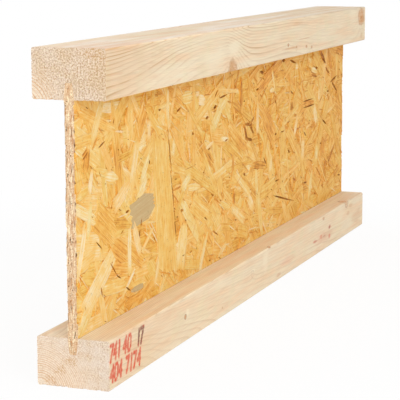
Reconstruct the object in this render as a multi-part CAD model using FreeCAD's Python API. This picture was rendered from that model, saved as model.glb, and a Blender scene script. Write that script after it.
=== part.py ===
"""Timber I-joist: two solid softwood flanges glued to an oriented strand board web.

Each flange is a planed batten with eased arrises and a wedge-shaped groove along
the middle of its inner face. The web is one flat panel whose two long edges are
profiled to matching wedge-shaped tongues. The tongues are pressed into the grooves
and bear on their sloping walls. A thin V stays open at each groove mouth, and a
small pocket for the adhesive stays free above each tongue tip.

Millimetres. X runs across the flanges, Y along the joist, Z up from the bearing
face. The origin is the middle of the bearing face.
"""

import FreeCAD
import Part
import math
import os

# The whole joist
JOIST_LENGTH = 870.0
JOIST_DEPTH = 300.0

# The flange battens
FLANGE_WIDTH = 70.0
FLANGE_DEPTH = 45.0
ARRIS_RADIUS = 2.0

# The web panel and its tongues
WEB_THICKNESS = 10.0
TONGUE_TIP_THICKNESS = 6.4
TONGUE_TIP_CHAMFER = 0.4

# The wedge joint between web and flange
GROOVE_DEPTH = 15.0
MOUTH_CLEARANCE = 0.15
GLUE_POCKET = 0.15

OUTPUT_FOLDER = "parts"


def wall_slope():
    """Sideways taper of a groove wall for each millimetre of depth, the same on the tongue."""
    mouth_half = WEB_THICKNESS / 2 + MOUTH_CLEARANCE
    return (mouth_half - TONGUE_TIP_THICKNESS / 2) / tongue_depth()


def tongue_depth():
    """How far the tongue reaches into the flange from its inner face."""
    return GROOVE_DEPTH - GLUE_POCKET


def groove_half_width(depth):
    """Half width of the groove at a depth below the flange's inner face."""
    return WEB_THICKNESS / 2 + MOUTH_CLEARANCE - wall_slope() * depth


def shoulder_depth():
    """Depth at which the groove has narrowed to the web's own thickness."""
    return MOUTH_CLEARANCE / wall_slope()


def extrude_section(wire):
    """Run a closed outline in the near end's plane through to the far end."""
    return Part.Face(wire).extrude(FreeCAD.Vector(0, JOIST_LENGTH, 0))


def near_end(x, z):
    """A point of a cross-section, in the plane of the near end."""
    return FreeCAD.Vector(x, -JOIST_LENGTH / 2, z)


def polygon(points):
    """Closed outline through points given as (x, z)."""
    corners = [near_end(x, z) for x, z in points]
    return Part.makePolygon(corners + corners[:1])


def eased_rectangle(half_width, low, high, radius):
    """Outline of a planed batten: straight faces joined by quarter-round arrises."""
    diagonal = radius * (1 - math.sqrt(0.5))
    edges = []
    # Each corner as (side, level, way up), going round from bottom left
    corners = [(-1, low, 1), (1, low, 1), (1, high, -1), (-1, high, -1)]
    ends = []
    for side, level, up in corners:
        on_level = near_end(side * (half_width - radius), level)
        on_side = near_end(side * half_width, level + up * radius)
        middle = near_end(side * (half_width - diagonal), level + up * diagonal)
        edges.append(Part.Arc(on_level, middle, on_side).toShape())
        ends.append((on_level, on_side))
    for first, second, pick in ((0, 1, 0), (1, 2, 1), (2, 3, 0), (3, 0, 1)):
        edges.append(Part.makeLine(ends[first][pick], ends[second][pick]))
    return Part.Wire(Part.__sortEdges__(edges))


def flange(inner_level, outer_level):
    """One batten, grooved on its inner face. Levels are heights of those two faces."""
    inward = 1 if outer_level > inner_level else -1
    low, high = sorted((inner_level, outer_level))
    batten = extrude_section(eased_rectangle(FLANGE_WIDTH / 2, low, high, ARRIS_RADIUS))
    mouth = groove_half_width(0)
    floor = groove_half_width(GROOVE_DEPTH)
    floor_level = inner_level + inward * GROOVE_DEPTH
    groove = extrude_section(
        polygon(
            [
                (-mouth, inner_level),
                (mouth, inner_level),
                (floor, floor_level),
                (-floor, floor_level),
            ]
        )
    )
    return batten.cut(groove)


def tongue_profile(inner_level, inward):
    """Right-hand half of one tongue, from its shoulder to its chamfered tip, as (x, z)."""
    chamfer_depth = tongue_depth() - TONGUE_TIP_CHAMFER
    tip_half = groove_half_width(tongue_depth()) - TONGUE_TIP_CHAMFER
    return [
        (WEB_THICKNESS / 2, inner_level + inward * shoulder_depth()),
        (groove_half_width(chamfer_depth), inner_level + inward * chamfer_depth),
        (tip_half, inner_level + inward * tongue_depth()),
    ]


def web_panel():
    """The strand board panel with a tongue along its lower and its upper edge."""
    upper = tongue_profile(JOIST_DEPTH - FLANGE_DEPTH, 1)
    lower = tongue_profile(FLANGE_DEPTH, -1)
    right = lower[::-1] + upper
    left = [(-x, z) for x, z in right[::-1]]
    return extrude_section(polygon(right + left))


def main():
    """Build each piece and write it to its own file."""
    os.makedirs(OUTPUT_FOLDER, exist_ok=True)
    pieces = {
        "top_flange": flange(JOIST_DEPTH - FLANGE_DEPTH, JOIST_DEPTH),
        "bottom_flange": flange(FLANGE_DEPTH, 0.0),
        "web_panel": web_panel(),
    }
    for name, shape in pieces.items():
        if shape.ShapeType != "Solid":
            shape = shape.Solids[0]
        shape.exportStep(os.path.join(OUTPUT_FOLDER, name + ".step"))
        print(name, "valid", shape.isValid(), "volume mm3", round(shape.Volume))


main()
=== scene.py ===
"""A timber I-joist with an oriented strand board web: its finishes, strands, stage and camera.

Metres. X runs across the flanges, Y along the joist away from the near end, Z up from the
bearing face. The origin is the middle of the bearing face.
"""

import math
import random
from collections import defaultdict, namedtuple

import bmesh
import bpy
from mathutils import Matrix, Vector
from mathutils.geometry import delaunay_2d_cdt


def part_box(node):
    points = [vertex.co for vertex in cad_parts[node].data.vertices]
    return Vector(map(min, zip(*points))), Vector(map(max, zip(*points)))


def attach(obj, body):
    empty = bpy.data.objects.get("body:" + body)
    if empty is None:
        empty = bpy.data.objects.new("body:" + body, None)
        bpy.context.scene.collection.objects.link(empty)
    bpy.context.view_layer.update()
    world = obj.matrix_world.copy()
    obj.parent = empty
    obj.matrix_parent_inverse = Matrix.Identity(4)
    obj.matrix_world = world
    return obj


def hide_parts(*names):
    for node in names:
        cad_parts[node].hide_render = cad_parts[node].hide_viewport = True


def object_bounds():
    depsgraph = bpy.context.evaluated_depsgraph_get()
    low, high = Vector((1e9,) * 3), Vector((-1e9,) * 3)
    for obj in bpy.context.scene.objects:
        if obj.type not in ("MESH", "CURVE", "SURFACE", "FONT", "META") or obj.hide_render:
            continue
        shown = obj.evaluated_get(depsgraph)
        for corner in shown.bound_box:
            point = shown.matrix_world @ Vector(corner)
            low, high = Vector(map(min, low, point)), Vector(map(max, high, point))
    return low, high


bl_info = {
    "name": "Timber I-joist finishes",
    "version": (1, 0, 0),
    "blender": (4, 5, 0),
    "location": "3D View > Sidebar > I-joist",
    "description": "Planed spruce flanges and a pressed strand board web for a timber I-joist",
    "category": "Object",
}

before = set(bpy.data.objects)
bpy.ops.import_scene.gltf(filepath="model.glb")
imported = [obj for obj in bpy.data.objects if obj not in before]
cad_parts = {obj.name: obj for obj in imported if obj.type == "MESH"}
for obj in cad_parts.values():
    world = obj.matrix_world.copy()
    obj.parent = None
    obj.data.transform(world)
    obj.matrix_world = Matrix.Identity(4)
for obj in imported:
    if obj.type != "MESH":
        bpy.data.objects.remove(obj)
CAD_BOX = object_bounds()

MM = 0.001
LENGTH = CAD_BOX[1].y - CAD_BOX[0].y
NEAR_END = CAD_BOX[0].y
WEB_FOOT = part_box("bottom_flange")[1].z
WEB_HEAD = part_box("top_flange")[0].z
WEB_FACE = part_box("web_panel")[1].x
FLANGE_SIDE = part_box("top_flange")[1].x

MATH = "ShaderNodeMath"
VECTOR_MATH = "ShaderNodeVectorMath"
SPLIT = "ShaderNodeSeparateXYZ"
# Its inputs in order: a value, the range it comes from and the range it is stretched to
RANGE = "ShaderNodeMapRange"
NOISE = "ShaderNodeTexNoise"
RAMP = "ShaderNodeValToRGB"
MIX = "ShaderNodeMix"
# Sockets of a colour mix: its two colours and its result
MIX_A = 6
MIX_B = 7
MIX_OUT = 2


def linear(colour):
    """Linear red, green and blue of an sRGB hex value such as #C8A060."""
    channels = [int(colour[i : i + 2], 16) / 255 for i in (1, 3, 5)]
    return [c / 12.92 if c <= 0.04045 else ((c + 0.055) / 1.055) ** 2.4 for c in channels]


def tint(name, description, colour):
    """A colour that a user would change."""
    return bpy.props.FloatVectorProperty(
        name=name,
        description=description,
        subtype="COLOR",
        min=0.0,
        max=1.0,
        default=linear(colour),
    )


def number(name, description, default, **limits):
    """A number that a user would change."""
    return bpy.props.FloatProperty(name=name, description=description, default=default, **limits)


def size(name, description, metres):
    """A length that a user would change."""
    return number(name, description, metres, min=0.0, unit="LENGTH", precision=4)


def power(name, description, watts):
    """A lamp's power that a user would change."""
    return number(name, description, watts, min=0.0, unit="POWER")


def angle(name, description, degrees):
    """An angle that a user would change."""
    return number(name, description, math.radians(degrees), subtype="ANGLE")


def count(name, description, default, least):
    """How many of something there are, where a user would change that."""
    return bpy.props.IntProperty(name=name, description=description, default=default, min=least)


class IJOIST_PG_softwood(bpy.types.PropertyGroup):
    """Planed spruce of the two flanges"""

    earlywood: tint("Earlywood", "Pale wood laid down in spring", "#F2E0C2")
    latewood: tint("Latewood", "Thin darker line that ends each year's growth", "#C4965F")
    blush: tint("Blush", "Warmer bands in the planed wood", "#F2D0AA")
    olive: tint("Olive", "Greener bands in the planed wood", "#EDDDB8")
    pale: tint("Pale", "Clear wood over knots", "#F8EACD")
    end_grain: tint("End grain", "Tufts of fibre on the sawn ends", "#F7E7D1")
    pores: tint("Pores", "Hollows between the tufts", "#A97B50")
    bleached: tint("Bleached", "End grain that the weather has greyed", "#F1E6DA")
    knot: tint("Knot", "Wood of a branch", "#CB8640")
    knot_rim: tint("Knot rim", "Bark and resin round a branch", "#80502A")
    ink: tint("Ink", "Marking ink that has soaked in", "#D9451F")
    old_ink: tint("Old ink", "Marking ink that has browned", "#7A2E14")


class IJOIST_PG_board(bpy.types.PropertyGroup):
    """Pressed strand board of the web"""

    bark: tint("Bark", "Darkest slivers and the depth of open gaps", "#70410E")
    brown: tint("Brown", "Heartwood strands", "#B8742F")
    orange: tint("Orange", "Strands stained by the resin", "#E6A042")
    gold: tint("Gold", "Most of the strands", "#F3C262")
    straw: tint("Straw", "Paler strands", "#F5D590")
    cream: tint("Cream", "Strands of clean sapwood", "#F9E8C2")
    grey: tint("Grey", "Strands that weathered before pressing", "#D0B988")
    green_cast: tint("Green cast", "Multiplies the greener strands", "#FAFAEC")
    red_cast: tint("Red cast", "Multiplies the ruddier strands", "#FFF3EA")
    edge: tint("Sawn edge", "Strands cut across at the ends of the panel", "#D8B38D")
    strand_length: size("Strand length", "Usual length of a strand", 0.070)
    strand_width: size("Strand width", "Usual width of a strand", 0.012)
    relief: size("Relief", "Depth from the pressed face to the lowest strands", 0.0012)
    strands: count("Strands", "How many strands each face is laid from", 650, 50)
    slivers: count("Slivers", "Fine slivers laid among the strands of a face", 800, 1)
    gaps: count("Gaps", "Small open gaps between the strands of a face", 170, 1)
    voids: count("Voids", "Hollows that the saw has opened in each end", 70, 0)


class IJOIST_PG_stage(bpy.types.PropertyGroup):
    """Floor, lamps and camera"""

    floor: tint("Floor", "Colour of the floor", "#FAFAF8")
    reach: size("Reach", "From the middle of the floor to its edges", 8.0)
    key_power: power("Key lamp", "Power of the lamp beside", 51.5)
    front_power: power("Front lamp", "Power of the lamp in front", 18.8)
    top_power: power("Top lamp", "Power of the lamp above", 17.3)
    back_power: power("Back lamp", "Power of the lamp behind", 14.0)
    sky: number("Room light", "Strength of the even light all round", 0.547, min=0.0)
    azimuth: angle("Azimuth", "How far the view is turned from straight along the joist", 20.47)
    elevation: angle("Elevation", "How far the camera looks down", 9.41)
    roll: angle("Roll", "Tilt of the picture", -0.18)
    distance: size("Distance", "From the camera to the point it looks at", 1.766)
    lens: number("Lens", "Focal length in millimetres", 141.46, min=1.0)


def add(tree, kind, inputs=(), out=0, stops=(), **settings):
    """Add one node with its settings, values and links, and give back one of its outputs."""
    node = tree.nodes.new(kind)
    for name, value in settings.items():
        setattr(node, name, value)
    if stops:
        elements = node.color_ramp.elements
        for i, (at, colour) in enumerate((stops[0], stops[-1], *stops[1:-1])):
            element = elements[i] if i < 2 else elements.new(at)
            element.position = at
            element.color = (*colour, 1.0) if hasattr(colour, "__len__") else (*[colour] * 3, 1.0)
    pairs = inputs.items() if isinstance(inputs, dict) else enumerate(inputs)
    for key, value in pairs:
        if isinstance(value, bpy.types.NodeSocket):
            tree.links.new(value, node.inputs[key])
        elif value is not None:
            opaque = node.inputs[key].type == "RGBA" and len(value) == 3
            node.inputs[key].default_value = (*value, 1.0) if opaque else value
    return node.outputs[out]


def new_material(name):
    """An empty material with its output node, as (material, tree, output)."""
    material = bpy.data.materials.new(name)
    material.use_nodes = True
    material.node_tree.nodes.clear()
    output = material.node_tree.nodes.new("ShaderNodeOutputMaterial")
    return material, material.node_tree, output


def coats(tree, colour, *layers):
    """Lay colours over a first one. Each layer is its share, its colour and how it mixes."""
    for share, over, *how in layers:
        given = {0: share, MIX_A: colour, MIX_B: over}
        way = how[0] if how else "MIX"
        colour = add(tree, MIX, given, out=MIX_OUT, data_type="RGBA", blend_type=way)
    return colour


def nudged(tree, value, noise, reach):
    """A value moved up and down by noise, over this reach in all."""
    centred = add(tree, MATH, [noise, -0.5], operation="ADD")
    return add(tree, MATH, [centred, reach, value], operation="MULTIPLY_ADD")


def drawn_noise(tree, place, spot, detail=3.0, roughness=0.5, seed=None):
    """Noise whose spots are so many millimetres long each way."""
    drawn = add(tree, VECTOR_MATH, [place, [1 / reach for reach in spot]], operation="MULTIPLY")
    given = {"Vector": drawn, "W": seed, "Scale": 1.0, "Detail": detail, "Roughness": roughness}
    return add(tree, NOISE, given, noise_dimensions="3D" if seed is None else "4D")


def place_in_mm(tree):
    """The place on a piece, in millimetres from the frame's origin."""
    here = add(tree, "ShaderNodeTexCoord", out="Object")
    return add(tree, VECTOR_MATH, {0: here, "Scale": 1 / MM}, operation="SCALE")


Knot = namedtuple("Knot", "x y z aim radius stretch wood rim")
Batten = namedtuple(
    "Batten",
    "node pith first_ring ageing clear_rings bleaching fading wander lines knots "
    "pale_patches tan_patches ink_patches old_ink_patches print_rows nicks seed",
)

# The flanges' right side, and how far a nick reaches each way
SIDE = FLANGE_SIDE / MM
NICK = Vector((0.9, 5.0, 0.9))

# All in millimetres: x and z in the frame, y from the near end. A batten's pith is where the
# middle of the tree would be. Its rings number first_ring times the distance from the pith to
# the power of ageing. Its clear_rings are how far from the pith the rings show on its ends,
# its bleaching is how much its ends have greyed, and its fading how much its top has. Its wander
# moves the rings towards the pith and its lines make them plainer, each as pairs of a share of
# the length and a strength. Knots aim outwards along their branch. A patch is its middle
# (x, y, z), its reach the same three ways and its strength. A row of print is the height of its
# foot, and where its figures start. A nick is where a small piece has broken from an edge.
BATTENS = (
    Batten(
        "top_flange",
        pith=(-46.0, 247.0),
        first_ring=0.0579,
        ageing=1.466,
        clear_rings=44.0,
        bleaching=0.1,
        fading=0.7,
        wander=(
            (0.0, 0.50), (0.07, 0.44), (0.15, 0.31), (0.23, 0.18), (0.29, 0.12), (0.34, 0.12), (0.37, 0.18),
            (0.40, 0.28), (0.44, 0.38), (0.50, 0.41), (0.60, 0.42), (0.67, 0.47), (0.72, 0.51), (1.0, 0.56),
        ),
        lines=(
            (0.0, 1.30), (0.14, 1.05), (0.25, 0.45), (0.33, 0.35), (0.40, 0.95), (0.56, 1.0), (0.72, 0.55),
            (0.85, 0.30), (1.0, 0.30),
        ),
        knots=(
            Knot(SIDE, 325, 252, (1.0, 0.05, 0.1), 16.0, 1.0, 1.0, 0.20),
            Knot(SIDE, 849, 287, (0.9, 0.1, 0.35), 11.5, 1.45, 0.95, 0.20),
            Knot(SIDE, 520, 270, (1.0, 0.2, 0.2), 2.0, 1.6, 1.0, 1.0),
            Knot(SIDE, 593, 264, (1.0, 0.2, 0.2), 1.8, 2.1, 0.9, 0.6),
            Knot(SIDE, 615, 262, (1.0, 0.2, 0.2), 1.8, 2.1, 0.9, 0.6),
            Knot(-SIDE, 560, 280, (-1.0, 0.1, 0.2), 8.0, 1.3, 0.9, 0.4),
        ),
        pale_patches=(
            ((SIDE, 332, 279), (30, 26, 9), 0.8), ((SIDE, 125, 264), (30, 110, 12), 0.7),
            ((SIDE, 270, 270), (30, 40, 16), 0.6), ((SIDE, 376, 262), (30, 34, 6), 0.5),
            ((SIDE, 806, 292), (30, 26, 9), 0.6),
        ),
        tan_patches=(
            ((SIDE, 22, 277), (30, 34, 2.2), 0.50), ((SIDE, 30, 282), (60, 130, 40), 0.30),
            ((28, 30, 300), (16, 70, 3.0), 0.35), ((SIDE, 321, 262), (30, 5, 5.0), 0.35),
            ((SIDE, 528, 266), (30, 34, 1.5), 0.65), ((SIDE, 555, 293), (30, 26, 2.5), 0.35),
            ((SIDE, 588, 274), (30, 40, 1.1), 0.60), ((SIDE, 855, 284), (30, 12, 7.0), 0.6),
            ((SIDE, 851, 263), (30, 9, 5.0), 0.35), ((24, 0, 296), (17, 6, 11.0), 0.75),
            ((30, 0, 292), (4, 4, 5.0), 0.8), ((19, 0, 297), (5, 4, 3.0), 0.7),
            ((26, 0, 284), (3, 4, 6.0), 0.6), ((-22, 0, 272), (16, 4, 16.0), 0.3),
            ((2, 0, 255), (9, 4, 2.5), 0.8), ((-16, 0, 255), (4, 4, 1.6), 0.8),
        ),
        ink_patches=(),
        old_ink_patches=(),
        print_rows=(),
        nicks=(),
        seed=3.0,
    ),
    Batten(
        "bottom_flange",
        pith=(-33.4, -6.4),
        first_ring=0.33,
        ageing=1.12,
        clear_rings=64.0,
        bleaching=0.6,
        fading=0.15,
        wander=((0.0, 0.04), (0.06, 0.10), (0.14, 0.29), (0.35, 0.57), (0.69, 0.83), (1.0, 0.96)),
        lines=((0.0, 0.55), (0.2, 0.45), (0.5, 0.35), (1.0, 0.40)),
        knots=(
            Knot(SIDE, 185, 25, (1.0, 0.1, 0.3), 2.6, 1.3, 1.0, 1.0),
            Knot(SIDE, 392, 26.5, (1.0, 0.1, 0.3), 4.0, 1.3, 0.15, 0.35),
            Knot(SIDE, 675, 41, (1.0, 0.1, 0.6), 1.8, 2.6, 0.9, 0.6),
            Knot(SIDE, 455, 45.5, (1.0, 0.1, 0.6), 1.6, 2.4, 1.0, 1.0),
            Knot(SIDE, 786, 45.5, (1.0, 0.1, 0.7), 8.0, 1.1, 0.7, 0.5),
            Knot(-SIDE, 300, 24.0, (-1.0, 0.1, 0.2), 5.0, 1.3, 0.9, 0.5),
        ),
        pale_patches=(
            ((SIDE, 191, 28), (30, 7, 6), 1.0), ((SIDE, 394, 29), (30, 8, 4), 0.9),
            ((SIDE, 439, 32), (30, 12, 14), 0.7), ((SIDE, 757, 32), (30, 36, 9), 0.6),
            ((SIDE, 282, 38), (30, 26, 7), 0.4),
        ),
        tan_patches=(
            ((SIDE, 70, 22), (30, 160, 40), 0.16), ((SIDE, 486, 6), (30, 12, 2.5), 0.5),
            ((SIDE, 680, 18), (30, 50, 7.0), 0.22), ((SIDE, 793, 29), (30, 10, 4.0), 0.5),
            ((SIDE, 808, 37), (30, 16, 3.5), 0.5), ((SIDE, 840, 18), (30, 34, 12.0), 0.35),
            ((-23, 0, 6), (10, 4, 6.0), 0.7), ((-12, 0, 15), (9, 4, 7.0), 0.7),
            ((-2, 0, 24), (9, 4, 7.0), 0.7), ((10, 0, 31), (10, 4, 5.0), 0.5),
            ((-32, 0, 20), (6, 4, 24.0), 0.3), ((5, 0, 20), (60, 4, 60), 0.18),
        ),
        ink_patches=(
            ((SIDE, 520, 17), (3, 34, 7.0), 0.16), ((SIDE, 672, 17), (3, 44, 10.0), 0.14),
            ((SIDE, 638, 18), (3, 13, 2.2), 0.60), ((SIDE, 664, 20), (3, 7, 4.0), 0.50),
            ((SIDE, 679, 18), (3, 10, 2.0), 0.50), ((SIDE, 704, 25), (3, 8, 3.2), 0.80),
            ((SIDE, 703, 14), (3, 7, 4.0), 0.60),
        ),
        old_ink_patches=(
            ((SIDE, 71, 36), (3, 18, 16.0), 1.0), ((SIDE, 640, 18), (3, 12, 4.0), 0.3),
            ((SIDE, 680, 18), (3, 10, 4.0), 0.4), ((SIDE, 704, 25), (3, 9, 4.0), 0.6),
        ),
        print_rows=(
            (27.0, ((0, "7"), (8, "4"), (17, "1"), (30, "4"), (40, "0"), (62, "1"), (69, "7"))),
            (8.0, ((1, "4"), (10, "0"), (19, "4"), (35, "7"), (44, "1"), (52, "7"), (62, "4"))),
        ),
        nicks=((34.5, 455, 44.5),),
        seed=8.0,
    ),
)

# Each figure as straight strokes on a cell one wide and one high
FIGURES = {
    "0": (((0, 0.2), (0, 0.8)), ((1, 0.2), (1, 0.8)), ((0.25, 0), (0.75, 0)), ((0.25, 1), (0.75, 1))),
    "1": (((0.5, 0), (0.5, 1)),),
    "4": (((0.8, 0), (0.8, 1)), ((0.8, 1), (0, 0.35)), ((0, 0.35), (1, 0.35))),
    "7": (((0, 1), (1, 1)), ((1, 1), (0.35, 0))),
}
# A figure's run across its width and up its height, which leans, in millimetres
FIGURE_ACROSS = Vector((0, 6.4, 0))
FIGURE_UP = 13.5 * Vector((0, 0.18, 1))
STROKE_WIDTH = 3.8

# How plain the growth rings are on the faces turned away from the photo
OTHER_LINES = 0.75
# How late in the year the wood grew, through one ring
YEAR = ((0.0, 0.25), (0.08, 0.0), (0.60, 0.03), (0.82, 0.45), (0.92, 1.0), (1.0, 0.45))
# Millimetres that the rings move over, as a batten's wander says and at random in slow swells
WANDER = 24.0
SWELL = 6.0
# How far a branch bows the rings aside, as a share of its radius
BOW = 0.3

# What the tufts of the sawn ends leave of the light, and how wide a tuft is in millimetres
TUFT_SHADE = (0.92, 0.91, 0.90)
TUFT = 1.5385

# A branch is a cone that starts at the pith, about this many millimetres in
BRANCH_RUN = 90
# How dark a branch is at shares of its radius: its own rings, and then its heart and bark
BRANCH_RINGS = ((0.0, 1.0), (0.15, 0.95), (0.3, 0.6), (0.5, 0.8), (0.62, 0.55), (0.78, 0.75), (1.0, 0.9))
HEART_AND_BARK = ((0.0, 0.55), (0.12, 0.35), (0.25, 0.0), (0.70, 0.0), (0.88, 1.0), (0.96, 0.75), (1.0, 0.0))


def new_group(name, vectors, values, made):
    """An empty shader group with its sockets, as (group, inputs inside, outputs inside)."""
    group = bpy.data.node_groups.new(name, "ShaderNodeTree")
    for title in vectors:
        group.interface.new_socket(title, in_out="INPUT", socket_type="NodeSocketVector")
    for title in values:
        group.interface.new_socket(title, in_out="INPUT", socket_type="NodeSocketFloat")
    for title in made:
        group.interface.new_socket(title, in_out="OUTPUT", socket_type="NodeSocketFloat")
    inside = group.nodes.new("NodeGroupInput").outputs
    return group, inside, group.nodes.new("NodeGroupOutput").inputs


def branch_group():
    """Shader group that adds one branch to what earlier ones have painted and pushed aside."""
    vectors = ("Place", "Centre", "Aim")
    values = ("Radius", "Stretch", "Wood", "Rim", "Dark", "Edge", "Push")
    group, given, made = new_group("branch", vectors, values, ("Dark", "Edge", "Push"))
    offset = add(group, VECTOR_MATH, [given["Place"], given["Centre"]], operation="SUBTRACT")
    along = add(group, VECTOR_MATH, [offset, given["Aim"]], out="Value", operation="DOT_PRODUCT")
    back = add(group, VECTOR_MATH, {0: given["Aim"], "Scale": along}, operation="SCALE")
    aside = add(group, VECTOR_MATH, [offset, back], operation="SUBTRACT")
    squeeze = add(group, MATH, [1.0, given["Stretch"]], operation="DIVIDE")
    squeezed = add(group, "ShaderNodeCombineXYZ", [1.0, squeeze, 1.0])
    even = add(group, VECTOR_MATH, [aside, squeezed], operation="MULTIPLY")
    reach = add(group, VECTOR_MATH, [even], out="Value", operation="LENGTH")
    cone = add(group, MATH, [along, 1 / BRANCH_RUN, 1.0], operation="MULTIPLY_ADD")
    cone = add(group, MATH, [cone, 0.1], operation="MAXIMUM")
    girth = add(group, MATH, [cone, given["Radius"]], operation="MULTIPLY")
    share = add(group, MATH, [reach, girth], operation="DIVIDE")
    # Its outline is uneven, in bumps 6.25 mm wide
    uneven = add(group, NOISE, {"Vector": given["Place"], "Scale": 1 / 6.25, "Detail": 3.0})
    share = nudged(group, share, uneven, 0.7)
    inside = add(group, RANGE, [share, 1.15, 0.60], interpolation_type="SMOOTHSTEP")
    rings = add(group, RAMP, [share], stops=BRANCH_RINGS)
    wood = add(group, MATH, [inside, rings], operation="MULTIPLY")
    fibre = drawn_noise(group, given["Place"], (2.0, 6.6667, 1.4286))
    fibre = add(group, RANGE, [fibre, 0.3, 0.7, 0.6, 1.15])
    wood = add(group, MATH, [wood, fibre], operation="MULTIPLY", use_clamp=True)
    wood = add(group, MATH, [wood, given["Wood"]], operation="MULTIPLY")
    edge = add(group, RAMP, [share], stops=HEART_AND_BARK)
    edge = add(group, MATH, [edge, given["Rim"]], operation="MULTIPLY")
    # It pushes the rings aside most at its heart, and falls off as a bell curve
    square = add(group, MATH, [share, share], operation="MULTIPLY")
    fall = add(group, MATH, [square, -0.28], operation="MULTIPLY")
    fall = add(group, MATH, [fall], operation="EXPONENT")
    push = add(group, MATH, [fall, given["Radius"], given["Push"]], operation="MULTIPLY_ADD")
    group.links.new(add(group, MATH, [wood, given["Dark"]], operation="MAXIMUM"), made["Dark"])
    group.links.new(add(group, MATH, [edge, given["Edge"]], operation="MAXIMUM"), made["Edge"])
    group.links.new(push, made["Push"])
    return group


def patch_group():
    """Shader group that adds one soft ragged patch to the earlier ones."""
    vectors = ("Place", "Centre", "Reach")
    group, given, made = new_group("patch", vectors, ("Strength", "Before"), ("Patch",))
    offset = add(group, VECTOR_MATH, [given["Place"], given["Centre"]], operation="SUBTRACT")
    shares = add(group, VECTOR_MATH, [offset, given["Reach"]], operation="DIVIDE")
    share = add(group, VECTOR_MATH, [shares], out="Value", operation="LENGTH")
    share = nudged(group, share, drawn_noise(group, given["Place"], (4, 20, 4)), 1.4)
    levels = [share, 1.1, 0.3, 0.0, given["Strength"]]
    patch = add(group, RANGE, levels, interpolation_type="SMOOTHSTEP")
    group.links.new(add(group, MATH, [patch, given["Before"]], operation="MAXIMUM"), made["Patch"])
    return group


def stroke_group():
    """Shader group that gives how far a place is from one straight stroke, or from earlier ones."""
    group, given, made = new_group("stroke", ("Place", "Start", "Run"), ("Before",), ("Distance",))
    offset = add(group, VECTOR_MATH, [given["Place"], given["Start"]], operation="SUBTRACT")
    dot = add(group, VECTOR_MATH, [offset, given["Run"]], out="Value", operation="DOT_PRODUCT")
    square = add(group, VECTOR_MATH, [given["Run"], given["Run"]], out="Value", operation="DOT_PRODUCT")
    share = add(group, MATH, [dot, square], operation="DIVIDE", use_clamp=True)
    nearest = add(group, VECTOR_MATH, {0: given["Run"], "Scale": share}, operation="SCALE")
    aside = add(group, VECTOR_MATH, [offset, nearest], operation="SUBTRACT")
    reach = add(group, VECTOR_MATH, [aside], out="Value", operation="LENGTH")
    nearer = add(group, MATH, [reach, given["Before"]], operation="MINIMUM")
    group.links.new(nearer, made["Distance"])
    return group


def printed_figures(tree, groups, place, rows):
    """How much ink lies on each place of the right side, for rows of plain figures."""
    if not rows:
        return 0.0
    flat = add(tree, VECTOR_MATH, [place, (0.0, 1.0, 1.0)], operation="MULTIPLY")
    distance = 1000.0
    for foot, figures in rows:
        for y, figure in figures:
            corner = Vector((0, y, foot))
            for ends in FIGURES[figure]:
                first, last = (corner + across * FIGURE_ACROSS + up * FIGURE_UP for across, up in ends)
                given = {"Place": flat, "Start": first, "Run": last - first, "Before": distance}
                distance = add(tree, "ShaderNodeGroup", given, node_tree=groups["stroke"])
    # The ink has crept along the grain, and dried unevenly in spots 3.3 mm wide
    creep = drawn_noise(tree, place, (1.8182, 7.2727, 1.8182), 2.0)
    distance = nudged(tree, distance, creep, 2.4)
    levels = [distance, 0.75 * STROKE_WIDTH, 0.25 * STROKE_WIDTH]
    ink = add(tree, RANGE, levels, interpolation_type="SMOOTHSTEP")
    dry = add(tree, NOISE, {"Vector": place, "Scale": 1 / 3.3333, "Detail": 2.0})
    dry = add(tree, RANGE, [dry, 0.3, 0.6, 0.65, 1.0])
    right = add(tree, MATH, [add(tree, SPLIT, [place]), SIDE - 1.0], operation="GREATER_THAN")
    ink = add(tree, MATH, [ink, dry], operation="MULTIPLY")
    return add(tree, MATH, [ink, right], operation="MULTIPLY")


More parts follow.
